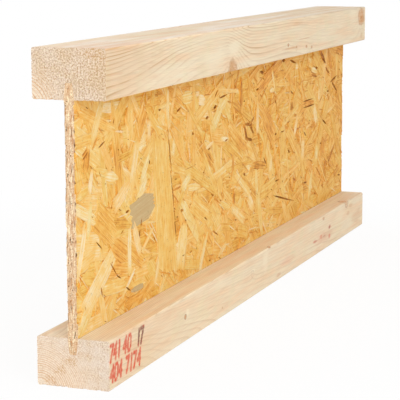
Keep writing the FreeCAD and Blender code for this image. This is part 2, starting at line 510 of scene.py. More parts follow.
def planed_spruce(batten, wood, groups):
    """Spruce, planed along the grain and sawn square across its ends.

    The eye sees pale spring wood with thin tan lines where the growth rings meet the face,
    fine fibre streaks, knots that the lines bow round, and furry mottled end grain.
    """
    material, tree, output = new_material("planed_spruce_" + batten.node)
    near_end = (0.0, -NEAR_END / MM, 0.0)
    place = add(tree, VECTOR_MATH, [place_in_mm(tree), near_end], operation="ADD")

    dark, rim, push = 0.0, 0.0, 0.0
    for knot in batten.knots:
        given = {
            "Place": place,
            "Centre": (knot.x, knot.y, knot.z),
            "Aim": Vector(knot.aim).normalized(),
            "Radius": knot.radius,
            "Stretch": knot.stretch,
            "Wood": knot.wood,
            "Rim": knot.rim,
            "Dark": dark,
            "Edge": rim,
            "Push": push,
        }
        made = add(tree, "ShaderNodeGroup", given, node_tree=groups["branch"]).node.outputs
        dark, rim, push = made["Dark"], made["Edge"], made["Push"]

    def patches(rows):
        """All the patches of one colour together."""
        total = 0.0
        for centre, reach, strength in rows:
            given = {"Place": place, "Centre": centre, "Reach": reach}
            given.update({"Strength": strength, "Before": total})
            total = add(tree, "ShaderNodeGroup", given, node_tree=groups["patch"])
        return total

    pale = patches(batten.pale_patches)
    tan = patches(batten.tan_patches)
    smears = patches(batten.ink_patches)
    old_ink = patches(batten.old_ink_patches)

    # Distance from the pith, swollen slowly and bent where the tree grew unevenly
    pith = (batten.pith[0], 0.0, batten.pith[1])
    from_pith = add(tree, VECTOR_MATH, [place, pith], operation="SUBTRACT")
    from_pith = add(tree, VECTOR_MATH, [from_pith, (1.0, 0.0, 1.0)], operation="MULTIPLY")
    radius = add(tree, VECTOR_MATH, [from_pith], out="Value", operation="LENGTH")
    near_pith = add(tree, RANGE, [radius, 0.5 * batten.clear_rings, batten.clear_rings, 1.0, 0.0])
    share = add(tree, MATH, [add(tree, SPLIT, [place], out="Y"), MM / LENGTH], operation="MULTIPLY")
    wander = add(tree, RAMP, [share], stops=batten.wander)
    wander.node.color_ramp.interpolation = "B_SPLINE"
    radius = nudged(tree, radius, wander, WANDER)
    swell = drawn_noise(tree, place, (40, 250, 40), 2.0, seed=batten.seed)
    radius = nudged(tree, radius, swell, SWELL)
    radius = add(tree, MATH, [push, -BOW, radius], operation="MULTIPLY_ADD")
    radius = add(tree, MATH, [radius, 1.0], operation="MAXIMUM")
    years = add(tree, MATH, [radius, batten.ageing], operation="POWER")
    years = add(tree, MATH, [years, batten.first_ring], operation="MULTIPLY")
    season = add(tree, MATH, [years], operation="FRACT")
    year = add(tree, MATH, [years], operation="FLOOR")
    # Each year's line has a strength of its own
    strength = add(tree, "ShaderNodeTexWhiteNoise", {"W": year}, noise_dimensions="1D")
    strength = add(tree, RANGE, [strength, 0.0, 1.0, 0.45, 1.1])
    late = add(tree, MATH, [add(tree, RAMP, [season], stops=YEAR), strength], operation="MULTIPLY")
    facing = add(tree, "ShaderNodeTexCoord", out="Normal")
    sideways, endways, upwards = add(tree, SPLIT, [facing]).node.outputs
    end = add(tree, RANGE, [add(tree, MATH, [endways], operation="ABSOLUTE"), 0.6, 0.8])

    # The lines show well in some stretches and hardly in others, and less in pale patches
    shown = drawn_noise(tree, place, (25, 90, 25), 1.0, seed=batten.seed + 5)
    shown = add(tree, RANGE, [shown, 0.36, 0.62, 0.45, 1.0])
    plain = add(tree, RAMP, [share], stops=batten.lines)
    plain = add(tree, MIX, {0: add(tree, RANGE, [sideways, 0.5, 0.9]), 2: OTHER_LINES, 3: plain})
    shown = add(tree, MATH, [shown, plain], operation="MULTIPLY")
    clear = add(tree, MATH, [pale, -0.7, 1.0], operation="MULTIPLY_ADD")
    shown = add(tree, MATH, [shown, clear], operation="MULTIPLY")

    # Fibres: streaks 0.7 mm wide and 40 mm long, cut across as dots on the ends
    streak = drawn_noise(tree, place, (0.7, 40, 0.7), roughness=0.6)
    # Bands of warmer and greener wood, 9 mm wide and 120 mm long
    band = drawn_noise(tree, place, (9, 120, 9))
    cloud = add(tree, NOISE, {"Vector": place, "Scale": 1 / 22, "Detail": 3.0})
    side = coats(
        tree,
        wood.earlywood,
        (add(tree, RANGE, [band, 0.40, 0.66, 0.0, 0.75]), wood.blush),
        (add(tree, RANGE, [cloud, 0.50, 0.70, 0.0, 0.6]), wood.olive),
    )
    # A face that lay upwards in the yard has faded in long drifts; towards the far end it is darkened as
    # painted shade
    drift = drawn_noise(tree, place, (14, 260, 14), seed=batten.seed + 9)
    faded_with_far_shade = coats(
        tree,
        wood.bleached,
        # painted shade: the faded top darkens towards the far end
        (1.0, add(tree, RANGE, [share, 0.0, 1.0, 1.0, 0.82]), "MULTIPLY"),
        (add(tree, RANGE, [drift, 0.42, 0.60, 0.0, 0.7]), wood.olive, "MULTIPLY"),
        (add(tree, RANGE, [band, 0.45, 0.60, 0.0, 0.5]), wood.blush, "MULTIPLY"),
    )
    up = add(tree, RANGE, [upwards, 0.5, 0.9, 0.0, batten.fading])
    # Sawn fibres stand up in tufts, each of its own shade, and shade one another. Near the pith
    # the saw has left the rings clean.
    tufts = {"Vector": place, "Scale": 1 / TUFT, "Detail": 3.0, "Roughness": 0.75}
    tufts = add(tree, NOISE, tufts)
    shades = add(tree, NOISE, {"Vector": place, "Scale": 1 / 1.1111}, out="Color")
    sawn = coats(
        tree,
        wood.pores,
        (add(tree, RANGE, [tufts, 0.33, 0.58]), wood.end_grain),
        (add(tree, RANGE, [cloud, 0.44, 0.62, 0.0, 0.4]), wood.olive, "MULTIPLY"),
        (0.18, shades, "OVERLAY"),
        (add(tree, RANGE, [band, 0.40, 0.60, 0.0, batten.bleaching]), wood.bleached),
        (0.5 * batten.bleaching, wood.bleached),
        (1.0, TUFT_SHADE, "MULTIPLY"),
        (add(tree, MATH, [near_pith, 0.55], operation="MULTIPLY"), wood.end_grain),
    )
    streaked = add(tree, RANGE, [streak, 0.25, 0.75, 0.85, 1.09])
    # On the ends the rings show near the pith and are lost in the fuzz further out
    weight = add(tree, MATH, [late, shown], operation="MULTIPLY")
    weight = add(tree, MATH, [weight, 0.95], operation="MULTIPLY")
    end_weight = add(tree, RANGE, [near_pith, 0.0, 1.0, 0.2, 1.0])
    end_weight = add(tree, MATH, [late, end_weight], operation="MULTIPLY")
    # A stain takes less on the tips of the tufts, and is duller on the sawn ends
    on_tufts = add(tree, RANGE, [tufts, 0.38, 0.58, 1.1, 0.1])
    taken = add(tree, MIX, {0: end, 2: 0.7, 3: on_tufts})
    figures = printed_figures(tree, groups, place, batten.print_rows)
    ink = add(tree, MATH, [figures, smears], operation="MAXIMUM")
    dressed = coats(
        tree,
        side,
        (up, faded_with_far_shade),
        (end, sawn),
        (1.0, streaked, "MULTIPLY"),
        (add(tree, MIX, {0: end, 2: weight, 3: end_weight}), coats(tree, wood.latewood, (end, wood.knot))),
        (add(tree, MATH, [pale, 0.6], operation="MULTIPLY"), wood.pale),
        (add(tree, MATH, [tan, taken], operation="MULTIPLY"), coats(tree, wood.knot, (end, wood.latewood))),
        (dark, wood.knot),
        (add(tree, MATH, [rim, 0.75], operation="MULTIPLY"), wood.knot_rim),
        (add(tree, MATH, [ink, 0.92], operation="MULTIPLY"), coats(tree, wood.ink, (old_ink, wood.old_ink))),
    )

    height = add(tree, MATH, [late, 0.5, streak], operation="MULTIPLY_ADD")
    height = add(tree, MIX, {0: end, 2: height, 3: tufts})
    depth = add(tree, MIX, {0: end, 2: 0.2 * MM, 3: 0.6 * MM})
    given = {
        "Base Color": dressed,
        "Roughness": add(tree, MIX, {0: end, 2: add(tree, RANGE, [late, 0.0, 1.0, 0.62, 0.48]), 3: 0.85}),
        "IOR": 1.46,
        "Specular IOR Level": 0.35,
        "Normal": add(tree, "ShaderNodeBump", {"Height": height, "Strength": 0.3, "Distance": depth}),
    }
    tree.links.new(add(tree, "ShaderNodeBsdfPrincipled", given), output.inputs["Surface"])
    return material


# A strand's rank is its place in the pile, sunk how deep it lies as a share of the relief, and
# taper how wide its two ends are as shares of its width
Strand = namedtuple("Strand", "y z length width turn tone rank sunk taper")

# The tone of a strand that has gone grey
GREY = 2.0
# Strands that stand out on the right face, each laid over those before it: distance from
# the near end, height, length and width in millimetres, turn in degrees from level, and
# tone from dark (0) over gold to cream (1), or GREY. The last two of the warm ones are pale,
# and lie over warm ones.
PALE_STRANDS = (
    (20, 62, 40, 16, 39, 0.77), (47, 231, 44, 12, 57, 0.76), (49, 87, 80, 20, 32, 0.8),
    (131, 179, 52, 14, 69, 0.78), (77, 178, 30, 9, -10, 0.84), (32, 180, 20, 8, 71, 0.88),
    (28, 145, 30, 8, 73, 0.88), (10, 119, 46, 9, 67, 0.86), (101, 157, 40, 14, 27, 0.81),
    (158, 175, 34, 10, 47, 0.86), (149, 156, 30, 11, 37, 0.85), (169, 210, 18, 9, 87, 0.83),
    (218, 228, 40, 8, 87, 0.81), (188, 71, 32, 8, 59, 0.79), (254, 81, 46, 24, 74, 0.79),
    (267, 145, 30, 12, 24, 0.8), (290, 137, 34, 8, -5, 0.78), (232, 185, 16, 8, 79, 0.8),
    (272, 232, 28, 14, 0, 0.76), (302, 233, 10, 5, 0, 0.86), (315, 225, 20, 11, -10, 0.88),
    (316, 61, 46, 9, 55, 0.86), (338, 175, 22, 4, 9, 0.84), (364, 205, 44, 15, 39, 0.81),
    (381, 214, 26, 8, 19, 0.83), (385, 176, 26, 6, -8, 0.83), (474, 92, 26, 13, -40, 0.81),
    (496, 111, 42, 9, -81, 0.83), (509, 70, 60, 12, -75, 0.78), (499, 187, 34, 9, 87, 0.87),
    (549, 126, 18, 7, 69, 0.81), (555, 214, 18, 5, 0, 0.86), (559, 225, 26, 6, -68, 0.86),
    (651, 162, 28, 10, 59, 0.8), (654, 235, 11, 7, 0, 0.88), (683, 128, 28, 12, 84, 0.83),
    (716, 77, 34, 13, 59, 0.81), (731, 224, 26, 7, -10, 0.84), (737, 166, 26, 13, -60, 0.83),
    (754, 190, 16, 10, 87, 0.83), (743, 116, 22, 12, 79, 0.8),
)
WARM_STRANDS = (
    (151, 137, 56, 27, 8, GREY), (136, 62, 27, 6, 0, GREY), (206, 132, 138, 48, -81, 0.6),
    (65, 134, 48, 30, -33, 0.53), (96, 106, 36, 22, -28, 0.46), (109, 193, 30, 8, 4, 0.42),
    (133, 94, 36, 16, -30, 0.5), (127, 53, 40, 8, 2, 0.48), (24, 201, 20, 13, 68, 0.42),
    (21, 206, 12, 6, 25, 0.28), (42, 213, 13, 5, 40, 0.44), (224, 245, 12, 6, -20, 0.36),
    (290, 180, 36, 10, 84, 0.5), (413, 144, 22, 8, 79, 0.42), (417, 105, 14, 5, 89, 0.33),
    (442, 219, 38, 9, 89, 0.31), (468, 183, 24, 4, -5, 0.19), (457, 174, 22, 5, -60, 0.25),
    (467, 166, 26, 3.5, -12, 0.21), (479, 175, 18, 3, -38, 0.17), (479, 186, 18, 3, 19, 0.21),
    (505, 131, 46, 10, -8, 0.36), (540, 175, 60, 26, -40, 0.44), (585, 230, 46, 10, 4, 0.42),
    (632, 187, 12, 9, 89, 0.29), (692, 75, 18, 12, 0, 0.42), (714, 124, 26, 14, 0, 0.46),
    (729, 218, 30, 5, -12, 0.23), (768, 240, 26, 7, -30, 0.23), (814, 105, 44, 6, 32, 0.25),
    (854, 199, 22, 13, 0, 0.42), (706, 184, 46, 8, 0, 0.40), (137, 108, 32, 12, -62, 0.76),
    (118, 103, 40, 8, 87, 0.84),
)
# Open gaps between strands of the right face; the three along the far edge of the big strand at 206 mm are
# dark both as a gap and as its painted shadow line: place, length, width and turn as above
GAPS = (
    (53, 76, 11, 2.4, -68), (48, 120, 16, 1.5, -34), (80, 92, 20, 1.7, -44), (92, 82, 12, 1.4, -25),
    (114, 66, 13, 1.8, -27), (148, 124, 9, 3.0, 69), (145, 113, 8, 2.4, 79), (114, 140, 8, 2.4, 0),
    (57, 210, 14, 1.8, 17), (198, 227, 6, 2.6, -10), (84, 228, 6, 2.4, 74), (170, 179, 4, 3.0, 89),
    (222, 185, 54, 2.8, -78), (230, 143, 46, 2.8, -77), (237, 110, 34, 1.8, -77), (256, 118, 7, 3.0, 0),
    (249, 222, 12, 2.6, 14), (288, 193, 5, 3.0, 0), (330, 205, 9, 3.4, 0), (337, 171, 8, 2.0, 9),
    (325, 98, 10, 1.8, -25), (338, 50, 7, 2.0, 0), (359, 228, 14, 2.6, 31), (381, 223, 24, 2.4, 5),
    (356, 214, 9, 4.0, 0), (356, 77, 18, 1.4, -28), (391, 174, 9, 2.0, 5), (454, 127, 7, 4.0, -30),
    (498, 220, 9, 2.8, 5), (517, 238, 14, 4.0, -10), (528, 133, 17, 4.0, -35), (568, 199, 7, 4.0, -30),
    (574, 103, 14, 2.2, 0), (599, 246, 13, 4.0, 0), (601, 77, 88, 2.4, -13), (596, 160, 16, 1.8, 0),
    (570, 160, 8, 3.0, 0), (625, 132, 8, 4.0, -40), (635, 204, 16, 3.0, -20), (637, 242, 26, 3.2, -12),
    (693, 146, 17, 3.0, -28), (694, 83, 18, 3.0, -5), (707, 180, 50, 2.4, 0), (703, 188, 46, 1.6, 0),
    (741, 226, 10, 4.4, 0), (764, 125, 10, 2.6, -10), (777, 233, 18, 4.4, -25), (779, 152, 22, 3.6, -22),
    (794, 219, 26, 4.4, -24), (796, 191, 9, 3.0, -5), (823, 205, 36, 3.2, 11), (828, 195, 32, 4.4, -28),
    (856, 70, 14, 3.0, -8),
)


# A strand's ends split into teeth about this wide
TOOTH = 3.5 * MM
# How much of its depth a strand keeps at a flange, and how far off it has all of it
FLUSH = 0.12
FLUSH_REACH = 4 * MM
# How far apart the sawn ends can chip, how deep chips are as a mean, a spread and at most
CHIP_STEP = 3 * MM
CHIP_MEAN = 0.1 * MM
CHIP_SPREAD = 0.6 * MM
CHIP_DEPTH = 2.4 * MM
# Multiplied by this, strands laid one after another get noise far apart
SEED_STEP = 0.61803
# The empty edge round the two halves of a face on its picture map
MAP_EDGE = 0.005
# Material slots of a face: its strands, and its sawn ends and back
PRESSED = 0
SAWN = 1
# How close two corners are that count as one
NEARLY_EQUAL = 0.0001 * MM


def strand_outline(draw, strand):
    """Corners of one strand on the panel's face, anticlockwise, as (y, z)."""
    half_length = strand.length / 2
    half_width = strand.width / 2
    slant = draw.uniform(-0.5, 0.5)
    near_taper, far_taper = strand.taper

    def edge(share, way):
        """A point of one long edge, which bows and tapers towards the strand's ends."""
        swell = near_taper + (1 - near_taper) * min(1, 2 * (1 + share))
        swell *= far_taper + (1 - far_taper) * min(1, 2 * (1 - share))
        bow = 1 + draw.uniform(-0.12, 0.08)
        return share * half_length + way * slant * half_width, way * half_width * swell * bow

    def torn_end(way, taper):
        """The split corners between the two corners of one short end."""
        teeth = max(1, min(4, round(strand.width * taper / TOOTH)))
        found = []
        for i in range(1, 2 * teeth):
            side = way * (i / teeth - 1) * half_width * taper
            out = draw.uniform(0.1, 0.45) if i % 2 else draw.uniform(-0.3, 0.0)
            reach = way * (half_length + out * min(strand.width, 3 * TOOTH)) + slant * side
            found.append((reach, side))
        return found

    shares = (-1.0, -0.45, 0.35, 1.0)
    points = [edge(share, -1) for share in shares] + torn_end(1, far_taper)
    points += [edge(share, 1) for share in reversed(shares)] + torn_end(-1, near_taper)
    cos = math.cos(strand.turn)
    sin = math.sin(strand.turn)
    return [(strand.y + a * cos - b * sin, strand.z + a * sin + b * cos) for a, b in points]


def scattered_strands(draw, board):
    """Strands, slivers and small gaps laid at random over the whole face, the lowest first."""
    found = []

    def lay(rank, sunk, length, width, tone, taper):
        """Lay one strand anywhere; most lie roughly along the joist, leaning down its length."""
        turn = draw.gauss(-0.25, 0.5) if draw.random() < 0.6 else draw.uniform(0, math.pi)
        y = draw.uniform(-20 * MM, LENGTH + 20 * MM)
        z = draw.uniform(WEB_FOOT - 10 * MM, WEB_HEAD + 10 * MM)
        # The panel's near end is a little paler, and so are the lowest 50 mm
        tone += 0.05 - 0.15 * y / LENGTH
        tone += 0.05 * max(0.0, 1 - (z - WEB_FOOT) / (50 * MM))
        found.append(Strand(y, z, length, width, turn, tone, rank, sunk, taper))

    for i in range(board.strands):
        rank = i / board.strands
        # Of a hundred strands, how many are of each kind
        kind = draw.choices(("gold", "warm", "pale", "brown"), (68, 15, 15, 2))[0]
        tone = {
            "gold": draw.gauss(0.60, 0.035),
            "warm": draw.uniform(0.48, 0.55),
            "pale": draw.uniform(0.68, 0.78),
            "brown": draw.uniform(0.38, 0.44),
        }[kind]
        narrow = 1.0 if kind in ("gold", "warm") else 0.5
        lay(
            rank,
            0.9 * (1 - rank),
            board.strand_length * draw.uniform(0.35, 1.5),
            narrow * board.strand_width * min(2.6, max(0.25, draw.lognormvariate(0, 0.5))),
            tone,
            (draw.choice((1.0, 1.0, 0.3)), draw.choice((1.0, 1.0, 0.3))),
        )
    for i in range(board.slivers):
        share = i / board.slivers
        tone = draw.choice((draw.uniform(0.70, 0.88), draw.uniform(0.36, 0.52)))
        length = draw.uniform(6, 34) * MM
        lay(0.6 + 0.4 * share, 0.3 * draw.random(), length, draw.uniform(0.6, 2.2) * MM, tone, (0.4, 0.2))
    for i in range(board.gaps):
        length = draw.uniform(1.5, 8) * MM
        lay(1 + i / board.gaps, 0.8, length, draw.uniform(0.5, 1.4) * MM, 0.08, (0.3, 0.2))
    return found


def placed_strands():
    """The strands and gaps that stand out on the right face."""
    found = []
    for i, (y, z, length, width, turn, tone) in enumerate(PALE_STRANDS + WARM_STRANDS):
        place = (y * MM, z * MM, length * MM, width * MM)
        rank = 1 + i / (len(PALE_STRANDS) + len(WARM_STRANDS))
        # The pale ones are duller towards the far end
        if i < len(PALE_STRANDS):
            tone -= 0.08 * y * MM / LENGTH
        taper = (0.5 + (i % 3) / 4, 0.4 + (i % 4) / 6)
        found.append(Strand(*place, math.radians(turn), tone, rank, 0.08 + (i % 4) / 20, taper))
    for i, (y, z, length, width, turn) in enumerate(GAPS):
        # Gaps are wider at the near end
        slim = 1.10 - 0.3 * y * MM / LENGTH
        place = (y * MM, z * MM, length * MM, slim * width * MM)
        # A gap's dark tone is partly painted shade, as along the big strand's far edge
        found.append(Strand(*place, math.radians(turn), 0.13, 3 + i, 0.95, (0.2, 0.3)))
    return found


def end_chips(draw):
    """Outline of a web face as (y, z), its two sawn ends chipped, and its mid-length line."""
    rows = round((WEB_HEAD - WEB_FOOT) / CHIP_STEP)
    levels = [WEB_FOOT + (WEB_HEAD - WEB_FOOT) * i / rows for i in range(1, rows)]
    depths = [draw.gauss(CHIP_MEAN, CHIP_SPREAD) for _ in range(2 * len(levels))]
    chips = [min(CHIP_DEPTH, max(0, depth)) for depth in depths]
    corners = [(0, WEB_FOOT), (LENGTH / 2, WEB_FOOT), (LENGTH, WEB_FOOT)]
    corners += [(LENGTH - chips[i], level) for i, level in enumerate(levels)]
    corners += [(LENGTH, WEB_HEAD), (LENGTH / 2, WEB_HEAD), (0, WEB_HEAD)]
    corners += [(chips[-1 - i], level) for i, level in enumerate(reversed(levels))]
    middle = (1, corners.index((LENGTH / 2, WEB_HEAD)))
    return corners, middle


class PressedFace:
    """One face of the panel, closed behind: what shows of each strand, and the steps between.

    All outlines are laid over each other in the plane of the face. Each small region goes to
    the highest strand over it, and each strand's regions lie at that strand's own level.
    """

    def __init__(self, side, strands, draw, relief):
        self.side = side
        self.relief = relief
        self.strands = strands
        # Strands lie slightly tilted, more across than along
        self.tilts = [(draw.gauss(0, 0.0016), draw.gauss(0, 0.012)) for _ in strands]
        border, middle = end_chips(draw)
        points = [Vector(p) for p in border]
        outlines = [list(range(len(border)))]
        for strand in strands:
            corners = strand_outline(draw, strand)
            outlines.append(list(range(len(points), len(points) + len(corners))))
            points += [Vector(p) for p in corners]
        # Only what lies inside outlines is kept, and nearly equal points are made one
        laid = delaunay_2d_cdt(points, [middle], outlines, 1, NEARLY_EQUAL)
        self.places = laid[0]
        inside = [(face, max(over, key=self.rank)) for face, over in zip(laid[2], laid[5]) if 0 in over]
        self.verts = []
        self.frames = []
        self.sizes = []
        self.numbers = {}
        self.levels_at = defaultdict(set)
        self.polygons = []
        self.slots = []
        self.maps = []
        edges = defaultdict(list)
        for face, owner in inside:
            spots = [self.places[p] for p in face]
            self.add_polygon([self.corner(p, owner) for p in face], spots, PRESSED)
            for a, b in zip(face, face[1:] + face[:1]):
                edges[min(a, b), max(a, b)].append((a, b, owner))
        following = {}
        for users in edges.values():
            a, b, owner = users[0]
            if len(users) == 1:
                following[a] = b
                self.add_step(a, b, owner, None, SAWN)
            elif users[1][2] != owner:
                self.add_step(a, b, owner, users[1][2], PRESSED)
        loop = [next(iter(following))]
        while following[loop[-1]] != loop[0]:
            loop.append(following[loop[-1]])
        loop.reverse()
        self.add_polygon([self.corner(p, None) for p in loop], [Vector((0, 0))] * len(loop), SAWN)

    def rank(self, owner):
        """How high a strand lies; 0 is the board below them all."""
        return -1 if owner == 0 else self.strands[owner - 1].rank

    def corner(self, place, owner):
        """Number of the vertex that belongs to one strand at one place; None is the back."""
        key = (place, owner)
        if key not in self.numbers:
            y, z = self.places[place]
            along, across, seed = y, z, 0.5
            half_length, half_width, tone = LENGTH, LENGTH, 0.5
            depth = self.relief
            if owner is None:
                depth = self.relief * 1.1
            elif owner:
                strand = self.strands[owner - 1]
                cos = math.cos(strand.turn)
                sin = math.sin(strand.turn)
                along = (y - strand.y) * cos + (z - strand.z) * sin
                across = (z - strand.z) * cos - (y - strand.y) * sin
                seed = (owner * SEED_STEP) % 1
                half_length, half_width, tone = strand.length / 2, strand.width / 2, strand.tone
                tilt = self.tilts[owner - 1]
                depth = strand.sunk * self.relief + tilt[0] * along + tilt[1] * across
                depth = min(0.95 * self.relief, max(0.0, depth))
            if owner is not None:
                # The flanges hold the strands flush along the panel's foot and head
                inward = min(z - WEB_FOOT, WEB_HEAD - z)
                depth *= min(1.0, FLUSH + (1 - FLUSH) * inward / FLUSH_REACH)
            self.numbers[key] = len(self.verts)
            self.levels_at[place].add(self.numbers[key])
            self.verts.append((self.side * (WEB_FACE - depth), NEAR_END + y, z))
            self.frames += [along, across, seed]
            self.sizes += [half_length, half_width, tone]
        return self.numbers[key]

    def add_polygon(self, corners, spots, slot):
        """Add a face, turned the right way out, with its place on the flat picture map."""
        way = 1 if self.side > 0 else -1
        self.polygons.append(corners[::way])
        self.slots.append(slot)
        # On the map the far half lies above the near half, so that the map is nearly square
        half = LENGTH / 2
        far = sum(s[0] for s in spots) / len(spots) > half
        for y, z in spots[::way]:
            across = (y - half * far) / half
            up = (z - WEB_FOOT) / (WEB_HEAD - WEB_FOOT)
            self.maps.append(MAP_EDGE + (1 - 2 * MAP_EDGE) * across)
            self.maps.append(MAP_EDGE + (0.5 - 4 * MAP_EDGE) * up + 0.5 * far)

    def add_step(self, a, b, owner, other, slot):
        """Add the small wall along one edge between two levels."""
        low_a, top_a = self.corner(a, other), self.corner(a, owner)
        low_b, top_b = self.corner(b, other), self.corner(b, owner)
        ring = [(b, top_b), (a, top_a)]
        ring += [(a, v) for v in self.between(a, top_a, low_a)] + [(a, low_a), (b, low_b)]
        ring += [(b, v) for v in self.between(b, low_b, top_b)]
        ring = [spot for i, spot in enumerate(ring) if spot[1] != ring[i - 1][1]]
        if len(ring) < 3:
            return
        # On the map a wall lies in a thin strip along its edge, so that it has some width
        way = (self.places[b] - self.places[a]).normalized()
        strip = Vector((-way.y, way.x)) * 0.4 * MM
        spots = []
        for place, vertex in ring:
            spots.append(self.places[place] + strip * (vertex in (low_a, low_b)))
        self.add_polygon([vertex for _, vertex in ring], spots, slot)

    def between(self, place, start, end):
        """Vertices at one place whose level lies between two others, in that order."""
        x0 = self.verts[start][0]
        x1 = self.verts[end][0]
        found = [v for v in self.levels_at[place] if min(x0, x1) < self.verts[v][0] < max(x0, x1)]
        return sorted(found, key=lambda v: abs(self.verts[v][0] - x0))

    def piece(self, name):
        """The face as an object with its attributes and its map."""
        mesh = bpy.data.meshes.new(name)
        mesh.from_pydata(self.verts, [], self.polygons)
        mesh.polygons.foreach_set("material_index", self.slots)
        for title, values in (("strand_frame", self.frames), ("strand_size", self.sizes)):
            mesh.attributes.new(title, "FLOAT_VECTOR", "POINT").data.foreach_set("vector", values)
        mesh.uv_layers.new(name="OFBake").data.foreach_set("uv", self.maps)
        return new_piece(name, mesh)


def new_piece(name, mesh):
    """An object of the web made from a mesh, riding on the joist."""
    mesh.update()
    piece = bpy.data.objects.new(name, mesh)
    bpy.context.scene.collection.objects.link(piece)
    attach(piece, "root")
    return piece


def panel_core(board, draw):
    """The middle of the panel: its tongues, its sawn ends and the board under the strands."""
    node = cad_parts["web_panel"]
    corners = {(round(v.co.x, 6), round(v.co.z, 6)) for v in node.data.vertices if v.co.x > 0}
    inset = WEB_FACE - 1.05 * board.relief
    right = sorted(corners, key=lambda corner: corner[1])
    middle = len(right) // 2
    recess = [(WEB_FACE, WEB_FOOT), (inset, WEB_FOOT), (inset, WEB_HEAD), (WEB_FACE, WEB_HEAD)]
    right = right[:middle] + recess + right[middle:]
    section = right + [(-x, z) for x, z in reversed(right)]
    around = len(section)
    verts = [(x, y, z) for y in (NEAR_END, NEAR_END + LENGTH) for x, z in section]
    faces = [(i, i + around, (i + 1) % around + around, (i + 1) % around) for i in range(around)]
    faces += [tuple(range(around)), tuple(range(2 * around - 1, around - 1, -1))]
    mesh = bpy.data.meshes.new("web_core")
    mesh.from_pydata(verts, [], faces)
    core = new_piece("web_core", mesh)
    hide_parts("web_panel")

    # Voids between the strands, cut open by the saw: flat lenses parallel to the faces
    shapes = bmesh.new()
    low, high = right[0][1] + 2 * MM, right[-1][1] - 2 * MM
    for end in (NEAR_END, NEAR_END + LENGTH):
        for _ in range(board.voids):
            centre = Vector((draw.uniform(-0.9, 0.9) * inset, end, draw.uniform(low, high)))
            tall = (1.5, 5.0) if draw.random() < 0.3 else (0.3, 1.0)
            limits = ((0.2, 0.45), (1.0, 3.0), tall)
            reach = Vector([draw.uniform(least, most) for least, most in limits])
            add_lens(shapes, centre, reach, draw.gauss(0, 0.12), "Y", around=8)
    cutter = cut_away(core, shapes, "voids")
    graph = bpy.context.evaluated_depsgraph_get()
    core.data = bpy.data.meshes.new_from_object(core.evaluated_get(graph))
    core.modifiers.clear()
    bpy.data.objects.remove(cutter)
    return core


